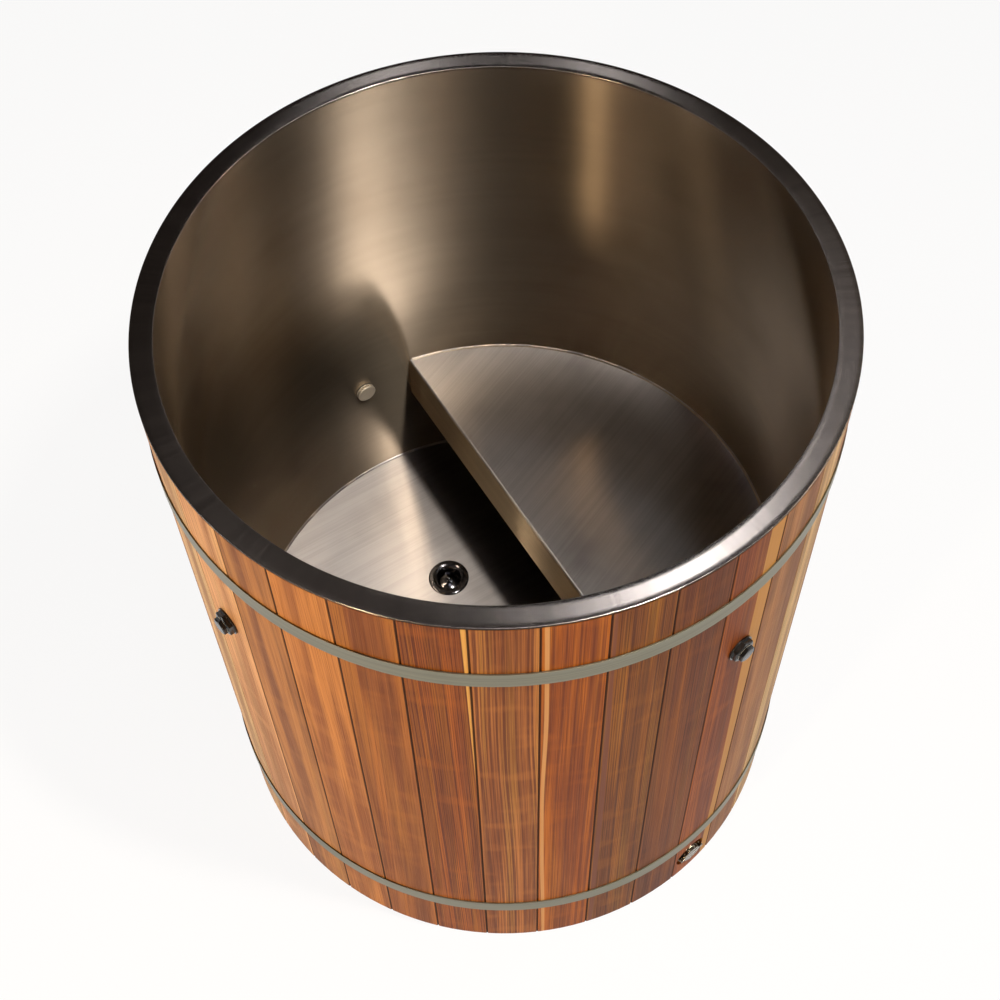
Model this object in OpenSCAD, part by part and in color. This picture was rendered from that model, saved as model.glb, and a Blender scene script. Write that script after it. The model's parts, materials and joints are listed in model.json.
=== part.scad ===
// Barrel cold plunge tub: coopered cedar staves round a stainless liner.
// Millimetres, +Z up, origin on the tub's axis at the floor it stands on.
// A bearing is an angle seen from above, from -Y (the front) towards +X.

/* [Barrel] */
// Outside diameter across the staves
tub_d = 914; // [860:1:1000]
// Height from the floor to the top of the rim
tub_h = 1060; // [980:1:1200]
// Thickness of a stave
stave_t = 19; // [17:0.5:24]
// Number of staves round the barrel
stave_count = 35; // [30:1:35]
// Chamfer on the outer edges of a stave, half of the V at a seam
edge_ease = 2; // [0.75:0.25:3]
// Chamfer on the outer edge of a stave's two ends
end_ease = 1.5; // [0.5:0.5:3]
// Radius of the bead on one edge of a stave and of the cove it sits in
bead_r = 4; // [2.5:0.25:4]
// Play between a bead and its cove, and round the base boards
joint_play = 0.2; // [0.1:0.05:0.4]

/* [Base] */
// Height of the joists, and of the croze that holds the base boards
joist_h = 98; // [94:1:104]
// Width of a joist
joist_w = 45; // [35:1:60]
// Spacing of the joists
joist_pitch = 190; // [150:1:220]
// Thickness of the base boards
board_t = 22; // [18:0.5:26]
// Face width of a base board
board_w = 120; // [110:1:150]
// Depth of the croze cut round the inside of the staves
croze_depth = 5; // [3:0.5:5]

/* [Hoops] */
// Width of a hoop
hoop_w = 30; // [20:1:36]
// Thickness of a hoop
hoop_t = 2; // [1.5:0.25:3]
// Distance from the rim's top down to the upper hoop
upper_hoop_drop = 110; // [60:1:160]
// Height of the lower hoop's bottom edge
lower_hoop_rise = 123; // [110:1:200]
// Bearing of the upper hoop's draw bolt
upper_lug_bearing = 140; // [100:1:220]
// Bearing of the lower hoop's draw bolt
lower_lug_bearing = -137; // [-220:1:-100]
// Reach of a hoop's lugs beyond the band
lug_reach = 15; // [12:1:22]
// Gap between the two lugs of a hoop
lug_gap = 8; // [4:1:14]
// Diameter of a draw bolt
bolt_d = 6; // [5:1:8]

/* [Liner] */
// Thickness of the liner's wall and floor
liner_t = 2; // [1.5:0.25:3]
// Space for foam between liner and staves
foam_gap = 9; // [6:0.5:14]
// Thickness of the rim flange
flange_t = 3; // [2:0.5:5]
// Height of the liner's floor above the ground
floor_h = 167; // [155:1:200]
// Throat of the fillet welds inside the liner
weld_r = 3; // [2:0.5:5]

/* [Seat] */
// Height of the seat above the liner's floor
seat_rise = 266; // [200:1:340]
// Distance from the tub's axis to the seat's front edge
seat_set = 70; // [20:1:140]
// Turn of the seat's middle line from +X
seat_turn = 30; // [0:1:60]
// Thickness of the seat's sheet
seat_t = 3; // [2:0.5:4]
// Height of the seat's turned-down front
apron_h = 95; // [70:1:130]
// Width of the return folded under the apron
hem_w = 15; // [8:1:30]
// Outside radius of the seat's folds
fold_r = 5; // [4.5:0.5:10]
// Spacing of the two ribs under the seat
rib_pitch = 340; // [200:1:450]

/* [Drain] */
// Place of the drain across the tub
drain_x = -94; // [-150:1:-60]
// Place of the drain along the tub
drain_y = 124; // [80:1:170]
// Diameter of the drain's flange
drain_d = 70; // [66:1:80]
// Diameter of the drain's well
well_d = 44; // [40:1:48]
// Depth of the drain's well below the liner's floor
well_depth = 15; // [14:1:18]
// Bore of the drain pipe
pipe_bore = 28; // [24:1:30]
// Wall of the drain pipe
pipe_wall = 3; // [2:0.5:4]
// Travel of the stopper when it is pulled up
stopper_lift = 10; // [6:1:12]
// Height of the drain outlet above the ground
outlet_h = 62; // [58:1:64]
// Turn of the drain pipe from +X
outlet_turn = -50.4; // [-55:0.1:-46]
// Diameter of the recess round the outlet
recess_d = 60; // [56:1:62]
// Depth of the recess round the outlet
recess_depth = 12; // [10:0.5:13]
// Outside diameter of the outlet's hose thread
outlet_d = 26.4; // [24:0.1:28]

/* [Ports] */
// Stave that holds the left port, counted from the front one
left_port_stave = -5; // [-7:1:-3]
// Stave that holds the right port, counted from the front one
right_port_stave = 4; // [3:1:7]
// Height of the two front ports
front_port_h = 782; // [600:1:840]
// Bearing of the rear port
rear_port_bearing = -148; // [-160:1:-144]
// Height of the rear port
rear_port_h = 401; // [300:1:600]
// Diameter of a port's threaded shank
shank_d = 24; // [22:1:28]
// Bore of a port, threaded for a hose tail
port_bore = 16; // [14:1:17]
// Length of that thread from the port's outer end
port_thread_l = 16; // [16:1:24]
// Bore of the passage behind the thread
port_pass = 13; // [8:0.5:13]
// Diameter of a port's flange and baffle inside the liner
baffle_d = 33; // [31:1:40]
// Diameter of the collar on a port's nut
collar_d = 40; // [38:1:48]
// Width across the flats of a port's nut
nut_af = 31; // [30:1:36]
// Thickness of a port's nut with its collar
nut_h = 9.5; // [7:0.5:12]
// Width across the flats of a port's plug
plug_af = 22; // [20:1:26]
// Thickness of the plug's head
plug_head_h = 5.5; // [4:0.5:9]
// Length of the plug's stem
plug_stem = 13; // [8:1:15]

/* [Hidden] */
$fn = 96;
// Bore, thread and sliding clearances
seat_gap = 0.3;
thread_gap = 0.05;
hoop_gap = 0.2;
shank_gap = 1;
liner_gap = 0.5;
over = 1;
wide = 2 * tub_d;
big_fn = 360;

tub_r = tub_d / 2;
stave_in = tub_r - stave_t;
stave_top = tub_h - flange_t;
stave_step = 360 / stave_count;
liner_out = stave_in - foam_gap;
liner_in = liner_out - liner_t;
board_top = joist_h + board_t;
tongue_l = 6;
seat_z = floor_h + seat_rise;
upper_hoop_z = tub_h - upper_hoop_drop - hoop_w;
lower_hoop_z = lower_hoop_rise;
hoop_in = tub_r + hoop_gap;
hoop_out = hoop_in + hoop_t;

// Draw bolt of a hoop
lug_t = 4;
bolt_r = bolt_d / 2;
bolt_af = bolt_d * 1.7;
bolt_head_h = bolt_d * 0.7;
bolt_nut_h = bolt_d * 0.85;
bolt_out = hoop_out + lug_reach / 2;

// Drain
drain_r = drain_d / 2;
drain_lip_t = 2.5;
well_r = well_d / 2;
well_wall = 3;
well_z = floor_h - well_depth;
pipe_r = pipe_bore / 2;
pipe_out = pipe_r + pipe_wall;
bend_r = 30;
socket_wall = 3.5;
socket_l = 20;
tail_z = outlet_h + bend_r + over;
drain_nut_h = 11;
washer_t = 3;
hub_h = 6;
hub_z = well_z - 12;
stem_r = 4;
stopper_r = well_r - 2.5;
seal_t = 3;

// Distance along the drain pipe from the drain to the barrel's outside
pipe_dir = [cos(outlet_turn), sin(outlet_turn)];
drain_at = [drain_x, drain_y];
drain_along = drain_at * pipe_dir;
outlet_run = -drain_along + sqrt(tub_r ^ 2 - drain_at * drain_at + drain_along ^ 2);
recess_floor = outlet_run - recess_depth;
outlet_lip_t = 3;
spigot_l = 10;
pipe_end = outlet_run - stave_t - 14;
cap_wall = 3;

// Ports: bearing, height
left_bearing = left_port_stave * stave_step;
right_bearing = right_port_stave * stave_step;
PORTS = [
    [left_bearing, front_port_h],
    [right_bearing, front_port_h],
    [rear_port_bearing, rear_port_h]
];
baffle_r = baffle_d / 2;
baffle_t = 3;
baffle_ease = 1;
foot_h = 2.5;
foot_w = 3;
foot_l = 4;
port_lip_t = 2;
port_washer_t = 1;
port_washer_x = sqrt(liner_in ^ 2 - baffle_r ^ 2) - port_washer_t;
port_lip_x = port_washer_x - port_lip_t;
baffle_x = port_lip_x - foot_h - baffle_t;
nut_x = tub_r + hoop_gap / 2;
nut_collar_h = 2.5;
port_end = nut_x + nut_h;

STAVES = [for (i = [1:stave_count]) str("stave_", i < 10 ? "0" : "", i)];

// Direction of a bearing as a turn from +X
function turn(bearing) = bearing - 90;
// A point at radius r, turned by a
function polar(r, a) = [r * cos(a), r * sin(a)];
// The smaller angle between two bearings
function apart(a, b) = abs(((a - b) % 360 + 540) % 360 - 180);

module tube(r_out, r_in, h) {
    difference() {
        cylinder(r = r_out, h = h);
        translate([0, 0, -over]) cylinder(r = r_in, h = h + 2 * over);
    }
}

// A hexagon, af across its flats, with the corners of its upper end coned off
module hexagon(af, h) {
    intersection() {
        cylinder(d = af / cos(30), h = h, $fn = 6);
        cylinder(r1 = 0.48 * af + h * tan(60), r2 = 0.48 * af, h = h);
    }
}

// Children are drawn with +Z pointing out of the barrel at a port
module at_port(port, x) {
    rotate([0, 0, turn(port[0])]) translate([x, 0, port[1]]) rotate([0, 90, 0]) children();
}

// Children are drawn with +Z along the drain pipe, x from the drain's axis
module along_pipe(x) {
    translate([drain_x, drain_y, outlet_h]) rotate([0, 0, outlet_turn])
        translate([x, 0, 0]) rotate([0, 90, 0]) children();
}

module at_drain(z) {
    translate([drain_x, drain_y, z]) children();
}

// Section of one stave: arcs outside and inside, chamfers, a bead and a cove
module stave_section() {
    half = stave_step / 2;
    mid = tub_r - stave_t / 2;
    ease_turn = half - asin(edge_ease / tub_r);
    difference() {
        union() {
            intersection() {
                circle(r = tub_r, $fn = big_fn);
                polygon([
                    polar(stave_in - over, -half), polar(tub_r - edge_ease, -half),
                    polar(tub_r, -ease_turn), [tub_r + stave_t, 0], polar(tub_r, ease_turn),
                    polar(tub_r - edge_ease, half), polar(stave_in - over, half)
                ]);
            }
            translate(polar(mid, half)) circle(r = bead_r);
        }
        circle(r = stave_in, $fn = big_fn);
        translate(polar(mid, -half)) circle(r = bead_r + joint_play);
    }
}

// Ring that cuts the chamfer on the outer edge of the staves at one end
module end_chamfer(z, up) {
    translate([0, 0, z]) mirror([0, 0, up ? 0 : 1]) rotate_extrude($fn = big_fn)
        polygon([
            [tub_r - end_ease, 0], [tub_r - end_ease, over], [tub_r + over, over],
            [tub_r + over, -end_ease - over]
        ]);
}

module stave(i) {
    bearing = (i - 1) * stave_step;
    color(i % 3 == 0 ? "peru" : i % 3 == 1 ? "sienna" : "chocolate") difference() {
        rotate([0, 0, turn(bearing)]) linear_extrude(stave_top) stave_section();
        translate([0, 0, joist_h - joint_play])
            cylinder(r = stave_in + croze_depth, h = board_t + 2 * joint_play, $fn = big_fn);
        end_chamfer(stave_top, true);
        end_chamfer(0, false);
        for (port = PORTS)
            if (apart(port[0], bearing) < stave_step)
                at_port(port, stave_in - over)
                    cylinder(r = shank_d / 2 + shank_gap, h = stave_t + 2 * over);
        if (apart(outlet_turn + 90, bearing) < stave_step) {
            along_pipe(recess_floor) cylinder(d = recess_d, h = recess_depth + 5 * over);
            along_pipe(recess_floor - stave_t) cylinder(r = pipe_r + over, h = stave_t + over);
        }
    }
}

// Joists lie along the drain pipe, two on each side of it
module joists() {
    color("burlywood") intersection() {
        cylinder(r = stave_in - 2, h = joist_h, $fn = big_fn);
        rotate([0, 0, outlet_turn])
            for (k = [-1.5, -0.5, 0.5, 1.5])
                translate([-tub_r, k * joist_pitch - joist_w / 2, 0]) cube([tub_d, joist_w, joist_h]);
    }
}

// One base board's section: a tongue on one edge and a groove on the other
module board_section(w) {
    third = board_t / 3;
    difference() {
        union() {
            square([w - joint_play, board_t]);
            translate([w - joint_play - over, third + joint_play])
                square([tongue_l + over, third - 2 * joint_play]);
        }
        translate([-over, third]) square([tongue_l + over + joint_play, third]);
    }
}

// Base boards cross the joists with their ends in the croze, one of them centred on the drain
module base_boards() {
    disc_r = stave_in + croze_depth - 2 * joint_play;
    first = -round((disc_r + drain_along) / board_w - 0.5);
    last = round((disc_r - drain_along) / board_w - 0.5);
    color("tan") difference() {
        intersection() {
            translate([0, 0, joist_h]) cylinder(r = disc_r, h = board_t, $fn = big_fn);
            rotate([0, 0, outlet_turn])
                for (k = [first:last]) {
                    left = k == first ? -tub_r : drain_along + (k - 0.5) * board_w;
                    right = k == last ? tub_r : drain_along + (k + 0.5) * board_w;
                    translate([left, tub_r, joist_h]) rotate([90, 0, 0])
                        linear_extrude(tub_d) board_section(right - left);
                }
        }
        at_drain(joist_h - over) cylinder(r = pipe_out + socket_wall + 4, h = board_t + 2 * over);
    }
}

module floor_foam() {
    color("mistyrose") translate([0, 0, board_top]) difference() {
        cylinder(r = liner_out, h = floor_h - liner_t - board_top, $fn = big_fn);
        translate([drain_x, drain_y, -over]) cylinder(r = drain_r + 8, h = floor_h);
    }
}

module wall_foam() {
    color("lightyellow") difference() {
        translate([0, 0, board_top]) difference() {
            cylinder(r = stave_in - joint_play, h = stave_top - board_top, $fn = big_fn);
            translate([0, 0, -over])
                cylinder(r = liner_out + joint_play, h = tub_h, $fn = big_fn);
        }
        for (port = PORTS)
            at_port(port, liner_out - 2 * over)
                cylinder(r = shank_d / 2 + shank_gap, h = foam_gap + 4 * over);
    }
}

module liner_wall() {
    color("silver") difference() {
        translate([0, 0, floor_h]) difference() {
            cylinder(r = liner_out, h = stave_top - floor_h, $fn = big_fn);
            translate([0, 0, -over]) cylinder(r = liner_in, h = tub_h, $fn = big_fn);
        }
        for (port = PORTS)
            at_port(port, liner_in - 2 * over)
                cylinder(r = shank_d / 2 + liner_gap, h = liner_t + 4 * over);
    }
}

// Quarter-round fillet weld where a plate at height z meets the liner's wall
module fillet_weld(z) {
    translate([0, 0, z]) rotate_extrude($fn = big_fn) intersection() {
        translate([liner_in, 0]) circle(r = weld_r, $fn = 32);
        translate([liner_in - weld_r, 0]) square(weld_r);
    }
}

module liner_floor() {
    color("gray") {
        difference() {
            translate([0, 0, floor_h - liner_t]) cylinder(r = liner_out, h = liner_t, $fn = big_fn);
            at_drain(floor_h - liner_t - over)
                cylinder(r = well_r + well_wall + liner_gap, h = liner_t + 2 * over);
        }
        fillet_weld(floor_h);
    }
}

// The rim: a flat ring over liner, foam and staves with softened upper edges
module rim_flange() {
    soft = flange_t / 2;
    color("dimgray") translate([0, 0, stave_top]) rotate_extrude($fn = big_fn) {
        translate([liner_in, 0]) square([tub_r - liner_in, flange_t - soft]);
        translate([liner_in + soft, 0]) square([tub_r - liner_in - 2 * soft, flange_t]);
        translate([liner_in + soft, flange_t - soft]) circle(r = soft);
        translate([tub_r - soft, flange_t - soft]) circle(r = soft);
    }
}

// A sheet folded once: w along +X, h down -Y, outside radius fold_r
module folded_sheet(w, h) {
    fold_in = fold_r - seat_t;
    translate([fold_r, -seat_t]) square([w - fold_r, seat_t]);
    translate([0, -h]) square([seat_t, h - fold_r]);
    intersection() {
        translate([0, -fold_r]) square(fold_r);
        translate([fold_r, -fold_r]) difference() {
            circle(r = fold_r);
            circle(r = fold_in);
        }
    }
}

// Section across the seat: top, apron and the hem folded back under it
module seat_section() {
    folded_sheet(liner_out - seat_set, apron_h - fold_r);
    translate([0, -apron_h]) mirror([0, 1]) folded_sheet(hem_w, 2 * fold_r);
}

// The seat: a segment of the liner's circle with its straight edge turned down
module seat_shelf() {
    color("lightslategray") rotate([0, 0, seat_turn]) {
        intersection() {
            translate([seat_set, liner_out, seat_z]) rotate([90, 0, 0])
                linear_extrude(2 * liner_out) seat_section();
            translate([0, 0, floor_h]) cylinder(r = liner_in, h = seat_rise + over, $fn = big_fn);
        }
        intersection() {
            fillet_weld(seat_z);
            translate([seat_set + fold_r + over, -tub_r, floor_h]) cube([tub_r, tub_d, tub_h]);
        }
    }
}

// Two ribs under the seat, from the apron to the liner's wall
module seat_ribs() {
    rib_h = apron_h - seat_t - hem_w;
    color("slategray") rotate([0, 0, seat_turn]) intersection() {
        translate([0, 0, floor_h]) cylinder(r = liner_in, h = seat_rise, $fn = big_fn);
        for (side = [-1, 1])
            translate([0, side * rib_pitch / 2 + seat_t / 2, seat_z - seat_t]) rotate([90, 0, 0])
                linear_extrude(seat_t) polygon([
                    [seat_set + seat_t, -fold_r], [seat_set + seat_t, -rib_h],
                    [seat_set + 2 * seat_t, -rib_h], [liner_out, -rib_h / 3],
                    [liner_out, 0], [seat_set + fold_r, 0]
                ]);
    }
}

// A flat band whose two ends turn out as lugs, drawn together by a bolt
module hoop(z, bearing) {
    color("darkseagreen") translate([0, 0, z]) rotate([0, 0, turn(bearing)]) difference() {
        union() {
            difference() {
                cylinder(r = hoop_out, h = hoop_w, $fn = big_fn);
                translate([0, 0, -over]) cylinder(r = hoop_in, h = hoop_w + 2 * over, $fn = big_fn);
            }
            translate([hoop_in, -lug_gap / 2 - lug_t, 0])
                cube([hoop_t + lug_reach, lug_gap + 2 * lug_t, hoop_w]);
        }
        translate([hoop_in - hoop_t, -lug_gap / 2, -over])
            cube([2 * hoop_t + lug_reach + over, lug_gap, hoop_w + 2 * over]);
        translate([bolt_out, 0, hoop_w / 2]) rotate([90, 0, 0])
            cylinder(r = bolt_r + seat_gap, h = wide, center = true);
    }
}

module upper_hoop() {
    hoop(upper_hoop_z, upper_lug_bearing);
}

module lower_hoop() {
    hoop(lower_hoop_z, lower_lug_bearing);
}

// Bolt and nut of each hoop, clamping its lugs
module hoop_bolt(z, bearing) {
    grip = lug_gap + 2 * lug_t;
    translate([0, 0, z + hoop_w / 2]) rotate([0, 0, turn(bearing)])
        translate([bolt_out, grip / 2, 0]) rotate([90, 0, 0]) {
            mirror([0, 0, 1]) hexagon(bolt_af, bolt_head_h);
            cylinder(r = bolt_r, h = grip + bolt_nut_h + 2);
            translate([0, 0, grip]) difference() {
                hexagon(bolt_af, bolt_nut_h);
                translate([0, 0, -over]) cylinder(r = bolt_r + thread_gap, h = bolt_nut_h + 2 * over);
            }
        }
}

module hoop_bolts() {
    color("gainsboro") {
        hoop_bolt(upper_hoop_z, upper_lug_bearing);
        hoop_bolt(lower_hoop_z, lower_lug_bearing);
    }
}

// The drain: flange, well, ledge, tail and a cross that guides the stopper
module drain_body() {
    lip_r = well_r + well_wall;
    color("darkslategray") at_drain(0) {
        rotate_extrude() {
            polygon([
                [well_r, floor_h], [drain_r - over, floor_h], [drain_r, floor_h + 0.5],
                [drain_r - drain_lip_t, floor_h + drain_lip_t],
                [well_r + 5, floor_h + drain_lip_t], [well_r + 3.5, floor_h + 1],
                [well_r, floor_h]
            ]);
            translate([well_r, well_z - well_wall]) square([well_wall, well_depth + well_wall + 0.5]);
            translate([pipe_r, well_z - well_wall]) square([lip_r - pipe_r, well_wall]);
            translate([pipe_r, tail_z]) square([pipe_wall, well_z - tail_z]);
        }
        for (a = [0, 60, 120])
            rotate([0, 0, a]) difference() {
                translate([-pipe_r - over, -1.5, hub_z]) cube([2 * (pipe_r + over), 3, hub_h]);
                translate([0, 0, hub_z - over]) cylinder(r = stem_r + 1, h = hub_h + 2 * over);
            }
        translate([0, 0, hub_z]) tube(stem_r + 3, stem_r + seat_gap, hub_h);
    }
}

module drain_nut() {
    color("dimgray") at_drain(floor_h - liner_t - washer_t - drain_nut_h) difference() {
        hexagon(2 * (well_r + well_wall) + 14, drain_nut_h);
        translate([0, 0, -over])
            cylinder(r = well_r + well_wall + thread_gap, h = drain_nut_h + 2 * over);
    }
}

// The stopper: a domed cap with a finger knob, on a stem with a stop below
module drain_stopper() {
    cap_z = well_z + seal_t + seat_gap;
    rim_h = 3;
    dome_h = 5;
    dome_r = (stopper_r ^ 2 + dome_h ^ 2) / (2 * dome_h);
    foot_z = hub_z - stopper_lift - seat_gap;
    color("black") at_drain(0) {
        translate([0, 0, cap_z]) cylinder(r = stopper_r, h = rim_h);
        translate([0, 0, cap_z + rim_h]) intersection() {
            cylinder(r = stopper_r, h = dome_h);
            translate([0, 0, dome_h - dome_r]) sphere(r = dome_r, $fn = 128);
        }
        translate([0, 0, cap_z + rim_h]) cylinder(r = 3, h = dome_h + 2);
        translate([0, 0, cap_z + rim_h + dome_h + 2]) sphere(r = 4);
        translate([0, 0, foot_z - 3]) cylinder(r = stem_r, h = cap_z + over - foot_z + 3);
        translate([0, 0, foot_z - 3]) cylinder(r = stem_r + 2, h = 3);
    }
}

module stopper_seal() {
    color("dimgray") at_drain(well_z + seat_gap) tube(stopper_r + 0.5, stem_r + seat_gap, seal_t);
}

// Bend under the base with a socket for the drain's tail and one for the pipe
module drain_elbow() {
    color("whitesmoke") translate([drain_x, drain_y, 0]) rotate([0, 0, outlet_turn]) {
        translate([bend_r, 0, outlet_h + bend_r]) rotate([90, 0, 0]) rotate([0, 0, 180])
            rotate_extrude(angle = 90) translate([bend_r, 0]) difference() {
                circle(r = pipe_out + socket_wall);
                circle(r = pipe_r);
            }
        translate([0, 0, outlet_h + bend_r]) tube(pipe_out + socket_wall, pipe_out + seat_gap, socket_l);
        translate([bend_r, 0, outlet_h]) rotate([0, 90, 0])
            tube(pipe_out + socket_wall, pipe_out + seat_gap, socket_l);
    }
}

module drain_pipe() {
    color("white") along_pipe(bend_r + over) tube(pipe_out, pipe_r, pipe_end - bend_r - over);
}

// Outlet: a flange in the recess, a hose thread outside and a tail in the pipe
module outlet_body() {
    tail_r = pipe_r - seat_gap;
    tail_l = stave_t + 30;
    color("silver") along_pipe(recess_floor) difference() {
        union() {
            cylinder(d = recess_d - 3, h = outlet_lip_t);
            cylinder(d = outlet_d, h = outlet_lip_t + spigot_l);
            translate([0, 0, -tail_l]) cylinder(r = tail_r, h = tail_l + over);
        }
        translate([0, 0, -tail_l - over]) cylinder(r = tail_r - 3, h = wide);
    }
}

// Wing cap that closes the outlet; it unscrews and comes off
module outlet_cap() {
    bore_r = outlet_d / 2 + seat_gap;
    skirt = spigot_l + seat_gap;
    wing_l = recess_d / 2 - 5;
    wing_t = 5;
    color("lightgray") along_pipe(recess_floor + outlet_lip_t + seat_gap) {
        difference() {
            cylinder(r = bore_r + cap_wall, h = skirt + cap_wall);
            translate([0, 0, -over]) cylinder(r = bore_r, h = skirt + over);
        }
        difference() {
            for (side = [0, 180])
                rotate([0, 0, 90 + side]) {
                    translate([0, -wing_t / 2, skirt - 5])
                        cube([wing_l - wing_t / 2, wing_t, cap_wall + 5]);
                    translate([wing_l - wing_t / 2, 0, skirt - 5]) cylinder(d = wing_t, h = cap_wall + 5);
                }
            translate([0, 0, skirt - 6]) cylinder(r = bore_r + over, h = 6);
        }
    }
}

// A through-wall bush with a round baffle that spreads the water inside
module port_body() {
    color("lightgray") {
        translate([0, 0, port_lip_x]) difference() {
            union() {
                cylinder(r = baffle_r, h = port_lip_t);
                cylinder(d = shank_d, h = port_end - port_lip_x);
            }
            translate([0, 0, -over]) cylinder(d = port_pass, h = port_end);
            translate([0, 0, port_end - port_lip_x - port_thread_l])
                cylinder(d = port_bore, h = port_thread_l + over);
        }
        translate([0, 0, baffle_x]) {
            translate([0, 0, baffle_ease]) cylinder(r = baffle_r, h = baffle_t - baffle_ease);
            cylinder(r1 = baffle_r - baffle_ease, r2 = baffle_r, h = baffle_ease);
        }
        for (a = [45:90:315])
            rotate([0, 0, a])
                translate([baffle_r - foot_l - baffle_ease, -foot_w / 2, baffle_x + baffle_t - over])
                    cube([foot_l, foot_w, foot_h + 2 * over]);
    }
}

module port_bodies() {
    for (port = PORTS)
        at_port(port, 0) port_body();
}

module port_nut() {
    difference() {
        union() {
            cylinder(d = collar_d, h = nut_collar_h);
            hexagon(nut_af, nut_h);
        }
        translate([0, 0, -over]) cylinder(d = shank_d + 2 * thread_gap, h = nut_h + 2 * over);
    }
}

module port_nuts() {
    color("black") for (port = PORTS)
        at_port(port, nut_x) port_nut();
}

// Washers under the drain's nut and behind each port's inner flange
module sealing_washers() {
    color("dimgray") {
        at_drain(floor_h - liner_t - washer_t)
            tube(drain_r, well_r + well_wall + thread_gap, washer_t);
        for (port = PORTS)
            at_port(port, port_washer_x) tube(baffle_r, shank_d / 2 + thread_gap, port_washer_t);
    }
}

// Hexagon plug that closes a port; it unscrews and comes off
module port_plug(port) {
    color("black") at_port(port, port_end + seat_gap) {
        hexagon(plug_af, plug_head_h);
        translate([0, 0, -plug_stem]) cylinder(r = port_bore / 2 - seat_gap, h = plug_stem + over);
    }
}

module left_plug() {
    port_plug(PORTS[0]);
}

module right_plug() {
    port_plug(PORTS[1]);
}

for (i = [1:stave_count])
    stave(i);
joists();
base_boards();
floor_foam();
wall_foam();
liner_wall();
liner_floor();
rim_flange();
seat_shelf();
seat_ribs();
upper_hoop();
lower_hoop();
hoop_bolts();
drain_body();
drain_nut();
drain_stopper();
stopper_seal();
drain_elbow();
drain_pipe();
outlet_body();
outlet_cap();
port_bodies();
port_nuts();
sealing_washers();
left_plug();
right_plug();
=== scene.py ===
"""Looks of a barrel cold plunge tub: cedar staves, stainless liner, hoops, drain and hose ports.

Every new piece is a surface on a grid of two parameters, worked out as whole arrays.
Lengths are metres. A bearing is an angle seen from above, from -Y (the front) towards +X.
"""

import json
import math

import bmesh
import bpy
import numpy as np
from bpy.props import FloatProperty, FloatVectorProperty, IntProperty, PointerProperty, StringProperty
from mathutils import Matrix, Vector

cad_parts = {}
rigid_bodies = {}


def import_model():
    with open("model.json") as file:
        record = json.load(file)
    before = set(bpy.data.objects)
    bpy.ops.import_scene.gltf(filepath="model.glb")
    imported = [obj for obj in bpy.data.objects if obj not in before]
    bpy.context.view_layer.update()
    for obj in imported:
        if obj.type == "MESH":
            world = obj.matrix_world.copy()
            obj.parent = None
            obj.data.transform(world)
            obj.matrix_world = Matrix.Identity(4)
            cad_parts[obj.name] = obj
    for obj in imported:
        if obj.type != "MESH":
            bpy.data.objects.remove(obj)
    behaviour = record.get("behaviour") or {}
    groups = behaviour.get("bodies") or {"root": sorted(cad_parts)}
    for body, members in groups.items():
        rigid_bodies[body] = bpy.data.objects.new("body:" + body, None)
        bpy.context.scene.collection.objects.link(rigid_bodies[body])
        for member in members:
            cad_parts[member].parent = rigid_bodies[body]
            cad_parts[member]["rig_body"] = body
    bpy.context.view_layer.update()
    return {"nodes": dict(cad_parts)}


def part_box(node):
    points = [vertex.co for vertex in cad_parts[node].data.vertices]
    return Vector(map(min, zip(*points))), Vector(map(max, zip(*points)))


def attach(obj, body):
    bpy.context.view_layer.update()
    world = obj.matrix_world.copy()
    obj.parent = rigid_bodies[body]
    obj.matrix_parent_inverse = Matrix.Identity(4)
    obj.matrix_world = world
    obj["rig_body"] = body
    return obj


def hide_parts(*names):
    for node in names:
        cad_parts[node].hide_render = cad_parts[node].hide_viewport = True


bl_info = {
    "name": "Barrel cold plunge tub",
    "version": (1, 0, 0),
    "blender": (4, 5, 0),
    "location": "3D View > Sidebar > Tub",
    "description": "Dresses the tub's solids with cedar, brushed steel, welds and eased edges",
    "category": "Object",
}

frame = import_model()

MM = 0.001
TAU = 2 * math.pi

# Faces that meet at less than these angles, in degrees, look like one surface: the first holds for
# new pieces, the second for eased copies of solids
SMOOTH_BELOW = 35
EASED_BELOW = 28

# Settings of the nodes that come up most, and the sockets of a Mix node for colours
SOFT = {"interpolation_type": "SMOOTHSTEP"}
COLOURS = {"data_type": "RGBA"}
MIX_A, MIX_B, MIX_OUT = 6, 7, 2


def span(node, axis):
    """Lowest and highest value of a solid along one axis."""
    low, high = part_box(node)
    return low[axis], high[axis]


BARREL_R = span("rim_flange", 1)[1]
RIM_BASE, RIM_TOP = span("rim_flange", 2)
LINER_OUT = span("liner_wall", 1)[1]
WALL_BASE = span("liner_wall", 2)[0]
STAVE_COUNT = sum(1 for name in frame["nodes"] if name.startswith("stave_"))
STAVE_STEP = 360 / STAVE_COUNT

# The seat's plate lies on its ribs. The solids' weld stands this high over the floor's plate
SEAT_PLATE = 3 * MM
WELD_THROAT = 3 * MM
SEAT_TOP = span("seat_ribs", 2)[1] + SEAT_PLATE
FLOOR_TOP = span("liner_floor", 2)[1] - WELD_THROAT
# The seat's turn in degrees, and how far from the axis its weld starts, past the fold
SEAT_TURN = 30
SEAT_WELD_FROM = 76 * MM

# Bearing and height of the ports' holes in the liner, and their radius
PORT_HOLES = [(-5 * STAVE_STEP, 0.782), (4 * STAVE_STEP, 0.782), (-148, 0.401)]
PORT_HOLE_R = 12.5 * MM


def srgb(text):
    """Turns an sRGB hex colour to linear RGBA."""
    parts = [int(text[i:i + 2], 16) / 255 for i in (1, 3, 5)]
    return tuple(p / 12.92 if p <= 0.04045 else ((p + 0.055) / 1.055) ** 2.4 for p in parts) + (1.0,)


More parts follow.
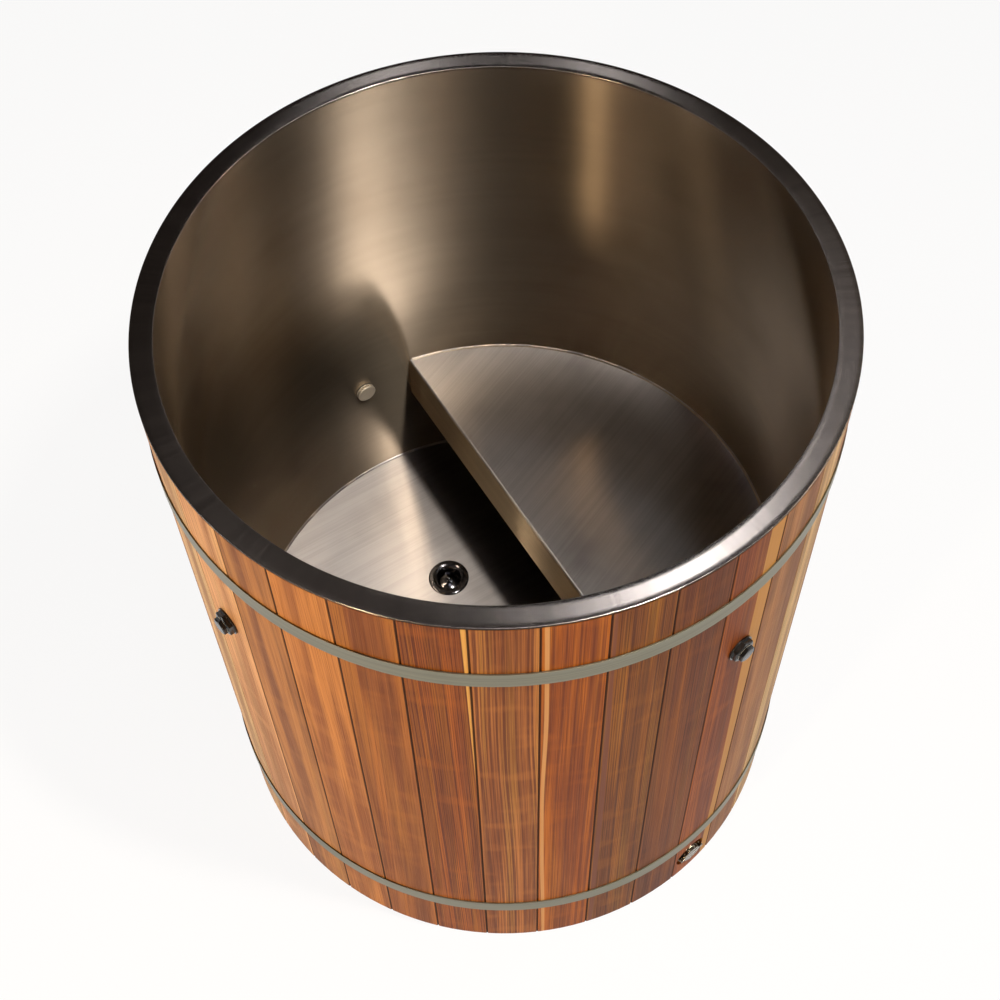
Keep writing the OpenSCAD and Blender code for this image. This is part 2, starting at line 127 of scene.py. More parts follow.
class TubSteel(bpy.types.PropertyGroup):
    """Sheet steel of the liner, rim and hoops."""

    sheet: FloatProperty(name="Sheet", description="Thickness of the liner's sheet", default=2 * MM,
                         unit="LENGTH")
    soft_edge: FloatProperty(name="Soft edge", description="Rounding of the rim's edges",
                             default=0.9 * MM, unit="LENGTH")
    bead: FloatProperty(name="Weld bead", description="Radius of the weld beads", default=3.2 * MM,
                        unit="LENGTH")
    ripple: FloatProperty(name="Ripple", description="Length of one ripple of a weld bead",
                          default=3 * MM, unit="LENGTH")
    steps: IntProperty(name="Steps", description="Steps round a turned surface", default=360, min=48)
    wall_tone: StringProperty(name="Wall tone", description="Colour of the liner's wall",
                              default="#B4A693")
    floor_tone: StringProperty(name="Floor tone", description="Colour of the liner's floor",
                               default="#A29E9D")
    seat_tone: StringProperty(name="Seat tone", description="Colour of the seat", default="#B4B1B1")
    rim_tone: StringProperty(name="Rim tone", description="Colour of the rim", default="#AFA6A2")
    hoop_tone: StringProperty(name="Hoop tone", description="Colour of the hoops", default="#817D6C")


class TubCedar(bpy.types.PropertyGroup):
    """Cedar of the staves."""

    seam: FloatProperty(name="Seam", description="Width of the dark line at a seam", default=4 * MM,
                        unit="LENGTH")
    fibre: FloatProperty(name="Fibre", description="Width of one fibre streak", default=0.7 * MM,
                         unit="LENGTH")


class TubStage(bpy.types.PropertyGroup):
    """Camera and studio."""

    lens: FloatProperty(name="Lens", description="Focal length in millimetres", default=59.234)
    place: FloatVectorProperty(name="Place", description="Where the camera stands", size=3,
                               default=(0.0, -1.31317, 2.66308), subtype="TRANSLATION")
    pitch: FloatProperty(name="Pitch", description="How far the camera looks down",
                         default=math.radians(57.4085), subtype="ANGLE")
    yaw: FloatProperty(name="Yaw", description="How far the camera looks to the right",
                       default=math.radians(-0.0265), subtype="ANGLE")
    roll: FloatProperty(name="Roll", description="Turn of the camera about its own view",
                        default=math.radians(-1.5898), subtype="ANGLE")
    backdrop: StringProperty(name="Backdrop", description="Colour of floor and backdrop",
                             default="#FFFFFF")


# Making meshes

def new_piece(name, verts, faces, material, body="tub"):
    """Makes a mesh object from arrays of points and faces, on a body."""
    mesh = bpy.data.meshes.new(name)
    mesh.from_pydata(verts.reshape(-1, 3), [], faces.tolist())
    mesh.validate()
    piece = bpy.data.objects.new(name, mesh)
    bpy.context.scene.collection.objects.link(piece)
    shade_smooth(mesh, SMOOTH_BELOW)
    mesh.materials.append(material)
    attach(piece, body)
    return piece


def shade_smooth(mesh, below):
    """Smooth shading where faces meet at less than an angle in degrees, sharp elsewhere."""
    mesh.polygons.foreach_set("use_smooth", np.ones(len(mesh.polygons), bool))
    mesh.set_sharp_from_angle(angle=math.radians(below))


def grid_faces(rows, columns, close_rows, close_columns):
    """Quads of a grid of points: point (i, j) joins (i + 1, j), (i + 1, j + 1) and (i, j + 1)."""
    i = np.arange(rows if close_rows else rows - 1)
    j = np.arange(columns if close_columns else columns - 1)
    a, b = np.meshgrid(i, j, indexing="ij")
    a, b = a.ravel(), b.ravel()
    c, d = (a + 1) % rows, (b + 1) % columns
    return np.stack([a * columns + b, c * columns + b, c * columns + d, a * columns + d], axis=1)


def turned(profile, steps):
    """Carries a closed profile of (radius, height) points round the axis: (r cos t, r sin t, z)."""
    t = np.linspace(0, TAU, steps, endpoint=False)
    r, z = np.asarray(profile, float).T
    x = np.cos(t)[:, None] * r[None, :]
    y = np.sin(t)[:, None] * r[None, :]
    points = np.stack([x, y, np.broadcast_to(z, x.shape)], axis=2)
    return points, grid_faces(steps, len(r), True, True)


def corner(centre, radius, start, end, steps=6):
    """Points of an arc: centre plus radius times (cos a, sin a), with a from start to end degrees."""
    a = np.radians(np.linspace(start, end, steps))
    return np.stack([centre[0] + radius * np.cos(a), centre[1] + radius * np.sin(a)], axis=1)


def weld_bead(name, radius, height, start, end, tube, ripple, material):
    """A weld bead along an arc at the foot of a wall, from start to end degrees.

    The tube's centre runs at the wall's radius and the plate's height. Its own radius swells by a
    tenth with each ripple and wanders in two waves, some 100 and 44 mm long. Its section turns
    inwards and upwards, from 75 to 195 degrees, and closes behind the sheet's surface.
    """
    length = radius * math.radians(end - start)
    rows = max(24, int(4 * length / ripple))
    t = np.radians(np.linspace(start, end, rows))
    walk = (t - t[0]) * radius
    scallop = np.abs(np.sin(math.pi * walk / ripple))
    wander = np.sin(walk * 61) * 0.5 + np.sin(walk * 143 + 1.3) * 0.5
    size = tube * (0.92 + 0.1 * scallop + 0.06 * wander)
    around = np.radians(np.linspace(75, 195, 9))
    sunk = 0.2 * MM
    r = radius + sunk + size[:, None] * np.cos(around)[None, :]
    z = height - sunk + size[:, None] * np.sin(around)[None, :]
    r = np.concatenate([r, np.full((rows, 1), radius + 2 * sunk)], axis=1)
    z = np.concatenate([z, np.full((rows, 1), height - 2 * sunk)], axis=1)
    points = np.stack([r * np.cos(t)[:, None], r * np.sin(t)[:, None], z], axis=2)
    whole = end - start >= 360
    if whole:
        points = points[:-1]
    piece = new_piece(name, points, grid_faces(*points.shape[:2], whole, True)[:, ::-1], material)
    if not whole:
        close_ends(piece)
    return piece


def close_ends(piece):
    """Fills each open end of a tube with a face and turns all faces outwards."""
    work = bmesh.new()
    work.from_mesh(piece.data)
    bmesh.ops.holes_fill(work, edges=[e for e in work.edges if e.is_boundary])
    bmesh.ops.recalc_face_normals(work, faces=work.faces)
    work.to_mesh(piece.data)
    work.free()


def refined(node, width):
    """A copy of a solid with its loose triangles joined, flat faces made whole and edges eased."""
    source = frame["nodes"][node]
    mesh = source.data.copy()
    mesh.name = node + "_eased"
    work = bmesh.new()
    work.from_mesh(mesh)
    bmesh.ops.remove_doubles(work, verts=work.verts, dist=1e-6)
    bmesh.ops.dissolve_limit(work, angle_limit=math.radians(0.5), verts=work.verts, edges=work.edges)
    work.to_mesh(mesh)
    work.free()
    piece = bpy.data.objects.new(node + "_eased", mesh)
    bpy.context.scene.collection.objects.link(piece)
    shade_smooth(mesh, EASED_BELOW)
    ease = piece.modifiers.new("ease", "BEVEL")
    ease.width = width
    ease.segments = 2
    ease.limit_method = "ANGLE"
    ease.angle_limit = math.radians(EASED_BELOW)
    ease.harden_normals = True
    ease.use_clamp_overlap = True
    mesh.materials.clear()
    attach(piece, source["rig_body"])
    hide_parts(node)
    return piece


def dress(piece, material):
    """Gives a solid or a piece one material."""
    piece.data.materials.clear()
    piece.data.materials.append(material)


def mark_upright(mesh, beyond=0.0):
    """Gives faces that stand within 45 degrees of upright, past a radius, the second material."""
    count = len(mesh.polygons)
    normals, middles = np.empty(count * 3), np.empty(count * 3)
    mesh.polygons.foreach_get("normal", normals)
    mesh.polygons.foreach_get("center", middles)
    upright = np.abs(normals.reshape(-1, 3)[:, 2]) < 0.7
    far = np.hypot(middles[0::3], middles[1::3]) >= beyond
    mesh.polygons.foreach_set("material_index", (upright & far).astype(np.int32))


# Making materials

def new_material(name, values):
    """A material with one Principled shader, whose constant values are set on its own sockets."""
    material = bpy.data.materials.new(name)
    material.use_nodes = True
    shader = material.node_tree.nodes["Principled BSDF"]
    for socket, value in values.items():
        shader.inputs[socket].default_value = value
    return material, material.node_tree, shader


def add_node(tree, kind, inputs=(), stops=(), **settings):
    """Adds one node and gives its outputs.

    The inputs are values or other nodes' outputs, in order or by the sockets' names or numbers.
    Stops are places and grey tones of a colour ramp, settings the node's own properties.
    """
    made = tree.nodes.new("ShaderNode" + kind)
    for name, value in settings.items():
        setattr(made, name, value)
    for socket, value in inputs.items() if isinstance(inputs, dict) else enumerate(inputs):
        if isinstance(value, bpy.types.NodeSocket):
            tree.links.new(value, made.inputs[socket])
        else:
            made.inputs[socket].default_value = value
    for spare, (place, tone) in enumerate(stops):
        ramp = made.color_ramp.elements
        stop = ramp[spare] if spare < 2 else ramp.new(place)
        stop.position = place
        stop.color = (tone, tone, tone, 1)
    return made.outputs


def shade(tone, red, green, blue):
    """A hex tone with each linear channel multiplied."""
    base = srgb(tone)
    return (base[0] * red, base[1] * green, base[2] * blue, 1.0)


# How dark a growth ring is from its start to its end: pale early wood, then the late line
LATE_WOOD = [(0.0, 0.1), (1.0, 0.1), (0.1, 0.0), (0.45, 0.1), (0.75, 1.0)]
# Spacing of the closer rings, width of the pale band beside a seam, which is wear and a painted
# highlight on the eased edge, and what the two drifts of hue multiply the wood by
CLOSE_RINGS = 2.6 * MM
PALE_EDGE_BAND = 2.6 * MM
OLIVE, RUSSET = (0.84, 0.98, 0.78, 1), (0.9, 0.82, 0.72, 1)


def cedar(name, bearing, seed, tone, stripe, ring, pith, tilt, strip, seam, fibre):
    """Western red cedar, planed, eased and oiled.

    Growth rings are circles round a pith line: their distance is the length of
    (x - pith x + tilt z, y - pith y), and each ring runs from pale early wood to a thin dark late
    line. Rings from far to the side draw straight stripes, from close behind they draw arches.
    """
    material, tree, shader = new_material(name, {"IOR": 1.4, "Specular IOR Level": 0.18})
    place = add_node(tree, "TexCoord")["Object"]
    local = add_node(tree, "Mapping", {"Vector": place, "Rotation": (0, 0, -math.radians(bearing))})[0]
    x, y, z = add_node(tree, "SeparateXYZ", (local,))

    # Slow wander of the grain along the board, and fibres, drawn a little coarser than real ones
    # so that they show
    drawn = add_node(tree, "Mapping", {"Vector": local, "Scale": (1, 1, 0.12)})[0]
    wander = add_node(tree, "TexNoise", {"Vector": drawn, "W": seed * 1.7, "Scale": 9.0,
                                         "Detail": 1.5, "Roughness": 0.4}, noise_dimensions="4D")[0]
    thread = add_node(tree, "Mapping", {"Vector": local, "Scale": (1 / fibre, 1 / fibre, 9.0)})[0]
    fibres = add_node(tree, "TexNoise", {"Vector": thread, "W": seed * 0.9, "Scale": 0.8,
                                         "Detail": 3.0, "Roughness": 0.65}, noise_dimensions="4D")[0]

    # Broad bands of tone, a faint figure across the grain and drifts of hue: for each its waves per
    # metre across and along the board, its own start and its detail
    drifts = []
    for across, along, start, detail in ((34, 1.5, 2.3, 2), (12, 24, 1.1, 1.5), (55, 1.1, 4.7, 1)):
        at = add_node(tree, "Mapping", {"Vector": local, "Location": (0, seed * start, 0),
                                        "Scale": (across, 0, along)})[0]
        drifts.append(add_node(tree, "TexNoise", {"Vector": at, "Scale": 1.0, "Detail": detail})[0])
    bands, figure, hue = drifts

    # Growth rings, and a second, closer set that beats with them
    slanted = add_node(tree, "Math", (z, tilt, x), operation="MULTIPLY_ADD")[0]
    level = add_node(tree, "CombineXYZ", (slanted, y))[0]
    from_pith = add_node(tree, "VectorMath", (level, (pith[0], pith[1] - BARREL_R, 0)),
                         operation="DISTANCE")["Value"]
    shift = add_node(tree, "Math", (wander, 3.6 * ring, -1.8 * ring), operation="MULTIPLY_ADD")[0]
    distance = add_node(tree, "Math", (from_pith, shift), operation="ADD")[0]
    age = add_node(tree, "Math", (distance, 1 / ring, seed * 3.1), operation="MULTIPLY_ADD")[0]
    grown = add_node(tree, "TexNoise", {"W": age, "Scale": 0.55, "Detail": 2.0, "Roughness": 0.6},
                     noise_dimensions="1D")[0]
    lines = []
    for spacing, drift in ((ring, 2.4), (CLOSE_RINGS, 3.0)):
        turns = add_node(tree, "Math", (distance, spacing), operation="DIVIDE")[0]
        turns = add_node(tree, "Math", (grown, drift, turns), operation="MULTIPLY_ADD")[0]
        part = add_node(tree, "Math", (turns,), operation="FRACT")[0]
        lines.append(add_node(tree, "ValToRGB", (part,), LATE_WOOD)[0])
    line, close_line = lines
    ringed = add_node(tree, "MapRange", (bands, 0.05, 0.5), **SOFT)[0]
    strong_line = add_node(tree, "Math", (line, ringed), operation="MULTIPLY")[0]

    # Tones laid over the light one in this order: what steers each, the curve, where it starts and
    # ends, its full strength, the tone and how it mixes
    deep = shade(tone, 0.36, 0.24, 0.14)
    layers = [
        (bands, "SMOOTHSTEP", 0.38, 0.62, 1, shade(tone, 0.74, 0.62, 0.42), "MIX"),
        (hue, "SMOOTHSTEP", 0.5, 0.64, 0.8 * stripe, OLIVE, "MULTIPLY"),
        (hue, "SMOOTHSTEP", 0.5, 0.38, 0.6 * stripe, RUSSET, "MULTIPLY"),
        (strong_line, "LINEAR", 0, 1, stripe, deep, "MIX"),
        (close_line, "LINEAR", 0, 1, 0.4 * stripe, deep, "MIX"),
        (fibres, "SMOOTHSTEP", 0.5, 0.68, 0.62, deep, "MIX"),
        (fibres, "SMOOTHSTEP", 0.5, 0.3, 0.32, shade(tone, 1.6, 1.7, 1.4), "MIX"),
        (figure, "SMOOTHSTEP", 0.52, 0.74, 0.2, shade(tone, 1.5, 1.55, 1.3), "MIX"),
    ]
    if strip:
        # Sapwood strip: its side wanders 30 mm up the board, and it widens with height
        middle, width, grow, pale = strip
        aside = add_node(tree, "Math", (wander, 0.03, x), operation="MULTIPLY_ADD")[0]
        aside = add_node(tree, "Math", (aside, middle + 0.015), operation="SUBTRACT")[0]
        aside = add_node(tree, "Math", (aside,), operation="ABSOLUTE")[0]
        reach = add_node(tree, "Math", (z, grow, width), operation="MULTIPLY_ADD")[0]
        inside = add_node(tree, "Math", (reach, aside), operation="SUBTRACT")[0]
        layers.append((inside, "SMOOTHSTEP", 0, 1.2 * MM, 0.85, srgb(pale), "MIX"))
    if seam:
        # The eased edge is painted pale, as wear and as a painted highlight, and the joint is painted
        # dark, as dirt and as painted shade in its groove
        slope = add_node(tree, "Math", (x, y), operation="DIVIDE")[0]
        side = add_node(tree, "Math", (slope,), operation="ABSOLUTE")[0]
        worn = math.tan(math.radians(STAVE_STEP / 2)) - seam / 2 / BARREL_R
        pale_edge_from, dark = worn - PALE_EDGE_BAND / BARREL_R, worn + 0.22 * seam / BARREL_R
        layers += [
            (side, "SMOOTHSTEP", pale_edge_from, worn, 0.3, shade(tone, 1.7, 1.75, 1.6), "MIX"),
            (side, "SMOOTHSTEP", worn, dark, 0.88, srgb("#2A1206"), "MIX"),
        ]
    wood = shade(tone, 1.42, 1.46, 1.3)
    for steer, curve, low, high, strength, laid, mode in layers:
        share = add_node(tree, "MapRange", (steer, low, high, 0, strength), interpolation_type=curve)[0]
        wood = add_node(tree, "Mix", {0: share, MIX_A: wood, MIX_B: laid}, **COLOURS,
                        blend_type=mode)[MIX_OUT]
    tree.links.new(wood, shader.inputs["Base Color"])

    rough = add_node(tree, "MapRange", (fibres, 0.2, 0.8, 0.42, 0.62))[0]
    tree.links.new(rough, shader.inputs["Roughness"])
    relief = add_node(tree, "Math", (line, 0.5, fibres), operation="MULTIPLY_ADD")[0]
    bump = add_node(tree, "Bump", {"Height": relief, "Strength": 0.35, "Distance": 0.25 * MM})[0]
    tree.links.new(bump, shader.inputs["Normal"])
    return material


# Waves per metre of a belt's streaks along the brushing, and up the edge of the rim
STREAKS_ALONG = 6.0
STREAKS_UP = 14.0
# Scale against the grit, detail, roughness and weight of fine lines, broad lines and long marks
STREAKS = [(1.0, 1.0, 0.6, 0.4), (0.22, 2.0, 0.5, 0.35), (0.05, 2.0, 0.6, 0.25)]


def brushed_steel(name, tone, roughness, anisotropy, brushed="level", turn=0.0, grit=1.2 * MM,
                  contrast=0.1, stain=0.12, dish=0.0, wave=0.0, relief=1.0, tarnish="#7A5A3C"):
    """Stainless sheet, brushed with a belt in one direction and left unpolished.

    Streaks are noise drawn out along the brushing: level round the axis, straight across a flat
    sheet at a turn from +X, or towards the axis on a ring. Highlights stretch across the streaks.
    A belt's grit leaves lines of 0.1 mm, too fine to show: they are drawn as wide as grit.
    """
    material, tree, shader = new_material(name, {"Metallic": 1.0, "Anisotropic": anisotropy})
    place = add_node(tree, "TexCoord")["Object"]
    fine, turn = 1 / grit, math.radians(turn)
    if brushed == "level":
        at = add_node(tree, "Mapping", {"Vector": place,
                                        "Scale": (STREAKS_ALONG, STREAKS_ALONG, fine)})[0]
        along = add_node(tree, "CombineXYZ", (0, 0, 1))[0]
    elif brushed == "straight":
        swung = add_node(tree, "Mapping", {"Vector": place, "Rotation": (0, 0, -turn)})[0]
        at = add_node(tree, "Mapping", {"Vector": swung, "Scale": (STREAKS_ALONG, fine, fine)})[0]
        along = add_node(tree, "CombineXYZ", (-math.sin(turn), math.cos(turn), 0))[0]
    else:
        x, y, z = add_node(tree, "SeparateXYZ", (place,))
        angle = add_node(tree, "Math", (y, x), operation="ARCTAN2")[0]
        walk = add_node(tree, "Math", (angle, fine * LINER_OUT), operation="MULTIPLY")[0]
        rise = add_node(tree, "Math", (z, STREAKS_UP), operation="MULTIPLY")[0]
        at = add_node(tree, "CombineXYZ", (walk, rise))[0]
        along = add_node(tree, "Tangent", direction_type="RADIAL", axis="Z")[0]
    tree.links.new(along, shader.inputs["Tangent"])

    lines = 0.0
    for scale, detail, uneven, weight in STREAKS:
        streaks = add_node(tree, "TexNoise", {"Vector": at, "Scale": scale, "Detail": detail,
                                              "Roughness": uneven})[0]
        lines = add_node(tree, "Math", (streaks, weight, lines), operation="MULTIPLY_ADD")[0]
    clouds = add_node(tree, "TexNoise", {"Vector": place, "Scale": 5.0, "Detail": 3.0,
                                         "Roughness": 0.55})[0]
    lit = add_node(tree, "MapRange", (lines, 0.35, 0.65), **SOFT)[0]
    low, high = (shade(tone, k, k, k) for k in (1 - contrast, 1 + contrast))
    lined = add_node(tree, "Mix", {0: lit, MIX_A: low, MIX_B: high}, **COLOURS)[MIX_OUT]
    stains = add_node(tree, "MapRange", (clouds, 0.45, 0.75, 0, stain), **SOFT)[0]
    stained = add_node(tree, "Mix", {0: stains, MIX_A: lined, MIX_B: srgb(tarnish)}, **COLOURS,
                       blend_type="MULTIPLY")[MIX_OUT]
    tree.links.new(stained, shader.inputs["Base Color"])

    even = roughness - 0.02 - 0.04 * relief
    rough = add_node(tree, "Math", (clouds, 0.04, even), operation="MULTIPLY_ADD")[0]
    rough = add_node(tree, "Math", (lines, 0.08 * relief, rough), operation="MULTIPLY_ADD")[0]
    tree.links.new(rough, shader.inputs["Roughness"])

    bump = {"Height": lines, "Strength": 0.03 * relief, "Distance": 0.05 * MM}
    if dish:
        # The weld's heat draws a flat sheet up by this much in its last 90 mm before the wall
        flat = add_node(tree, "Mapping", {"Vector": place, "Scale": (1, 1, 0)})[0]
        reach = add_node(tree, "VectorMath", (flat,), operation="LENGTH")["Value"]
        near = add_node(tree, "MapRange", (reach, LINER_OUT - 92 * MM, LINER_OUT - 2 * MM))[0]
        drawn = add_node(tree, "Math", (near, near), operation="MULTIPLY")[0]
        bump["Normal"] = add_node(tree, "Bump", {"Height": drawn, "Strength": 1.0, "Distance": dish})[0]
    if wave:
        # Rolled sheet isn't quite round: it swells by this much over some 300 mm
        swell = add_node(tree, "TexNoise", {"Vector": place, "Scale": 3.0, "Detail": 1.0})[0]
        bump["Normal"] = add_node(tree, "Bump", {"Height": swell, "Strength": 1.0, "Distance": wave})[0]
    tree.links.new(add_node(tree, "Bump", bump)[0], shader.inputs["Normal"])
    return material


def plain_metal(name, tone, roughness, scratch=0.3, dents=0.0):
    """Turned, drawn or cast metal with faint handling marks, which vary the gloss.

    A cast face is uneven by its dents, in metres, some 6 mm apart.
    """
    material, tree, shader = new_material(name, {"Metallic": 1.0})
    place = add_node(tree, "TexCoord")["Object"]
    marks = add_node(tree, "TexNoise", {"Vector": place, "Scale": 420.0, "Detail": 5.0,
                                        "Roughness": 0.7})[0]
    smears = add_node(tree, "TexNoise", {"Vector": place, "Scale": 60.0, "Detail": 2.0})[0]
    worn = add_node(tree, "MapRange", (smears, 0.4, 0.75), **SOFT)[0]
    dull = shade(tone, 1 - scratch, 1 - scratch, 1 - scratch)
    smeared = add_node(tree, "Mix", {0: worn, MIX_A: srgb(tone), MIX_B: dull}, **COLOURS)[MIX_OUT]
    tree.links.new(smeared, shader.inputs["Base Color"])
    rough = add_node(tree, "Math", (marks, 0.5 * roughness, 0.75 * roughness),
                     operation="MULTIPLY_ADD")[0]
    tree.links.new(rough, shader.inputs["Roughness"])
    bump = {"Height": marks, "Strength": 0.08, "Distance": 0.03 * MM}
    if dents:
        waves = add_node(tree, "TexNoise", {"Vector": place, "Scale": 160.0, "Detail": 1.0})[0]
        bump["Normal"] = add_node(tree, "Bump", {"Height": waves, "Strength": 1.0, "Distance": dents})[0]
    tree.links.new(add_node(tree, "Bump", bump)[0], shader.inputs["Normal"])
    return material


def moulded_plastic(name, tone, roughness, grain=0.25 * MM):
    """Injection-moulded plastic with a fine spark-eroded grain and a little dust."""
    material, tree, shader = new_material(name, {"IOR": 1.5})
    place = add_node(tree, "TexCoord")["Object"]
    pits = add_node(tree, "TexNoise", {"Vector": place, "Scale": 0.5 / grain, "Detail": 2.0})[0]
    specks = add_node(tree, "TexNoise", {"Vector": place, "Scale": 45.0, "Detail": 3.0})[0]
    dust = add_node(tree, "MapRange", (specks, 0.5, 0.8), **SOFT)[0]
    base = srgb(tone)
    pale = tuple(min(1, c * 1.5 + 0.012) for c in base[:3]) + (1,)
    dusty = add_node(tree, "Mix", {0: dust, MIX_A: base, MIX_B: pale}, **COLOURS)[MIX_OUT]
    tree.links.new(dusty, shader.inputs["Base Color"])
    rough = add_node(tree, "Math", (pits, 0.15, roughness - 0.07), operation="MULTIPLY_ADD")[0]
    tree.links.new(rough, shader.inputs["Roughness"])
    bump = add_node(tree, "Bump", {"Height": pits, "Strength": 0.15, "Distance": 0.05 * MM})[0]
    tree.links.new(bump, shader.inputs["Normal"])
    return material


# Each front stave, counted from the one at the front: tone, strength of its stripes, ring spacing
# in millimetres, place of the pith (across, behind the face) in metres, and drift of the rings
# with height
BOARDS = {
    -6: ("#C09A74", 0.45, 3.2, (0.20, 0.05), 0.01),
    -5: ("#C08E65", 0.5, 4.0, (0.11, 0.05), 0.02),
    -4: ("#966233", 0.4, 7.0, (0.012, 0.05), 0.03),
    -3: ("#A46831", 0.35, 4.5, (-0.09, 0.06), 0.03),
    -2: ("#8F541D", 0.5, 5.5, (0.02, 0.07), -0.025),
    -1: ("#8D4C0D", 1.5, 3.0, (-0.22, 0.03), 0.015),
    0: ("#9D6230", 1.3, 7.6, (0.16, 0.02), 0.006),
    1: ("#975104", 0.85, 7.0, (-0.14, 0.04), -0.012),
    2: ("#834E0B", 1.2, 3.4, (0.24, 0.02), 0.008),
    3: ("#743D03", 0.9, 3.0, (-0.25, 0.03), 0.01),
    4: ("#8D4806", 0.8, 5.5, (0.08, 0.05), 0.03),
    5: ("#99653A", 0.5, 3.0, (-0.22, 0.04), -0.01),
    6: ("#C09A6E", 0.5, 3.6, (0.18, 0.05), 0.012),
}
# Strips of sapwood, or of dark heartwood at a joint: middle, half width at the foot, growth with
# height, tone
STRIPS = {
    -1: (0.0385, -0.0120, 0.0200, "#DDA754"),
    1: (-0.0342, 0.0030, 0.0002, "#C8935A"),
    2: (-0.0360, 0.0048, 0.0, "#6E3F2C"),
    4: (0.034, 0.013, 0.006, "#C08A42"),
}
FRONT_LOOKS = max(BOARDS)


class TUB_OT_staves(bpy.types.Operator):
    """Give each stave its own cedar board"""

    bl_idname = "tub.staves"
    bl_label = "Staves"

    def execute(self, context):
        cedars = context.scene.tub_cedar
        for index in range(STAVE_COUNT):
            away = index if index <= STAVE_COUNT // 2 else index - STAVE_COUNT
            # The hidden staves take the looks of those nearest the front, without their strips
            look = away if abs(away) <= FRONT_LOOKS else away * 5 % 9 - 4
            tone, stripe, ring, pith, tilt = BOARDS[look]
            strip = STRIPS.get(look) if look == away else None
            material = cedar(f"red_cedar_{index + 1:02d}", index * STAVE_STEP, index + 1, tone, stripe,
                             ring * MM, pith, tilt, strip, cedars.seam, cedars.fibre)
            dress(frame["nodes"][f"stave_{index + 1:02d}"], material)
        return {"FINISHED"}


class TUB_OT_liner(bpy.types.Operator):
    """Make the liner's rolled wall, and dress floor, seat and ribs"""

    bl_idname = "tub.liner"
    bl_label = "Liner"

    def execute(self, context):
        sizes = context.scene.tub_steel
        # Brushed sheet draws each lamp out into a glow across its brushing. The rolled wall is the
        # smoothest, the folded seat the dullest
        wall = brushed_steel("rolled_stainless", sizes.wall_tone, 0.25, 1.0, grit=9 * MM,
                             contrast=0.04, stain=0.15, relief=0.1, wave=5 * MM)
        floor = brushed_steel("brushed_floor_plate", sizes.floor_tone, 0.36, 0.88, "straight", turn=31,
                              grit=1.8 * MM, contrast=0.08, stain=0.3, dish=6 * MM, tarnish="#8A8488")
        seat = brushed_steel("brushed_seat_plate", sizes.seat_tone, 0.38, 0.78, "straight", turn=53,
                             grit=1.8 * MM, contrast=0.08, stain=0.45, dish=9 * MM, tarnish="#8A8488")
        # The apron is the seat's own sheet, given a paler, warmer tone than the seat: painted light. Its
        # rougher, level brushing is the sheet's own
        paler_apron = brushed_steel("brushed_apron_painted_paler", "#C8BCA8", 0.5, 1.0, grit=2 * MM, contrast=0.08,
                              stain=0.2)
        inner = LINER_OUT - sizes.sheet
        heights = np.linspace(WALL_BASE, RIM_BASE, 12)
        profile = [(LINER_OUT, z) for z in heights[::-1]] + [(inner, z) for z in heights]
        piece = new_piece("liner_shell", *turned(profile, sizes.steps), wall)
        self.cut_port_holes(piece)
        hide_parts("liner_wall")
        dress(frame["nodes"]["liner_floor"], floor)
        dress(frame["nodes"]["seat_ribs"], seat)
        # The fold along the seat's front has the small radius of a press brake's tool
        shelf = refined("seat_shelf", 1.2 * MM)
        dress(shelf, seat)
        shelf.data.materials.append(paler_apron)
        mark_upright(shelf.data)
        return {"FINISHED"}

    def cut_port_holes(self, piece):
        """Cuts the holes that the ports' shanks fill, so that no sheet crosses a bore."""
        work = bmesh.new()
        for bearing, height in PORT_HOLES:
            out = Vector((math.sin(math.radians(bearing)), -math.cos(math.radians(bearing)), 0))
            middle = out * (LINER_OUT - MM) + Vector((0, 0, height))
            place = Matrix.Translation(middle) @ out.to_track_quat("Z", "Y").to_matrix().to_4x4()
            bmesh.ops.create_cone(work, cap_ends=True, segments=48, radius1=PORT_HOLE_R,
                                  radius2=PORT_HOLE_R, depth=30 * MM, matrix=place)
        mesh = bpy.data.meshes.new("drill")
        work.to_mesh(mesh)
        work.free()
        drill = bpy.data.objects.new("drill", mesh)
        bpy.context.scene.collection.objects.link(drill)
        cut = piece.modifiers.new("holes", "BOOLEAN")
        cut.object = drill
        cut.operation = "DIFFERENCE"
        bpy.context.view_layer.objects.active = piece
        bpy.ops.object.modifier_apply(modifier=cut.name)
        bpy.data.objects.remove(drill)
        shade_smooth(piece.data, SMOOTH_BELOW)


class TUB_OT_welds(bpy.types.Operator):
    """Lay the weld beads along floor and seat"""

    bl_idname = "tub.welds"
    bl_label = "Welds"

    def execute(self, context):
        sizes = context.scene.tub_steel
        # The beads are left as welded, duller and warmer than the sheet
        steel = plain_metal("weld_bead_steel", "#CDBFB0", 0.4)
        inner = LINER_OUT - sizes.sheet
        reach = math.degrees(math.acos(SEAT_WELD_FROM / inner))
        for name, height, start, end in (("floor_weld", FLOOR_TOP, 0, 360),
                                         ("seat_weld", SEAT_TOP, SEAT_TURN - reach, SEAT_TURN + reach)):
            piece = weld_bead(name, inner, height, start, end, sizes.bead, sizes.ripple, steel)
        return {"FINISHED"}


